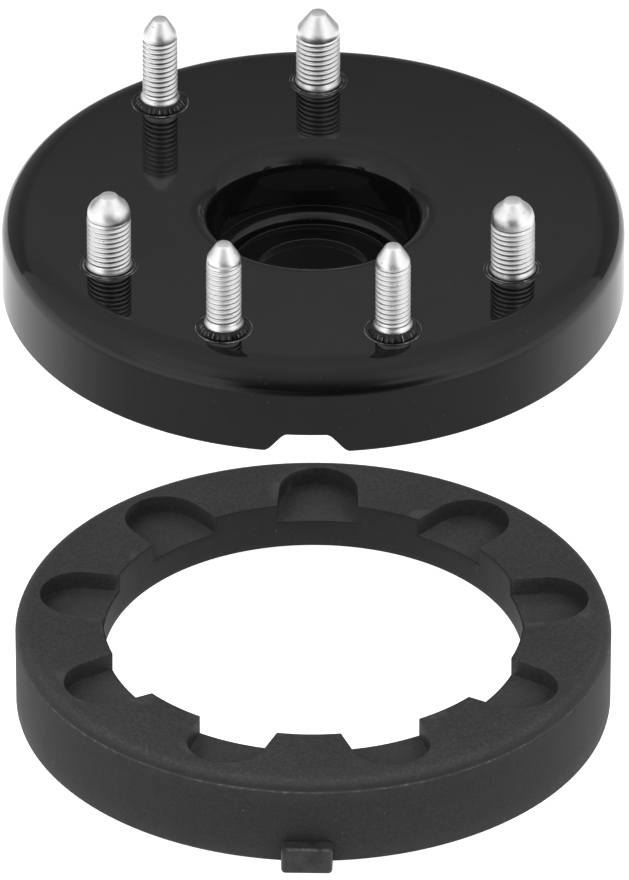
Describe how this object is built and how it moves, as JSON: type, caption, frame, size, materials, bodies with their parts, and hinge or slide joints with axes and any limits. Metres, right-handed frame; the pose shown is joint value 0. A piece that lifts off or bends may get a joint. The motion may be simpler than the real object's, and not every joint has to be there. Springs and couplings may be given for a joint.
{
  "type": "strut mount",
  "caption": "Round drawn strut mount plate with a stepped central well and threaded studs, above a rubber spring isolator ring with pockets and a locating tab.",
  "frame": {"origin": "centre of the large studs' circle, on the plate's top face", "axes": "+Z along the studs and the damper rod, out of the vehicle; -Y towards the notch and the tab"},
  "size_m": [0.14, 0.141, 0.1559],
  "materials": {
    "black_paint": "gloss black paint",
    "zinc_steel": "bright zinc",
    "rubber": "moulded matte"
  },
  "bodies": {
    "plate": {"mount_plate": "black_paint", "studs_m10": "zinc_steel", "studs_m8": "zinc_steel"},
    "isolator": {"spring_isolator": "rubber"}
  },
  "joints": [
    {"name": "isolator_lift", "type": "slide", "parent": "plate", "child": "isolator", "axis": [0, 0, 1], "range_m": [0, 0.108]}
  ]
}
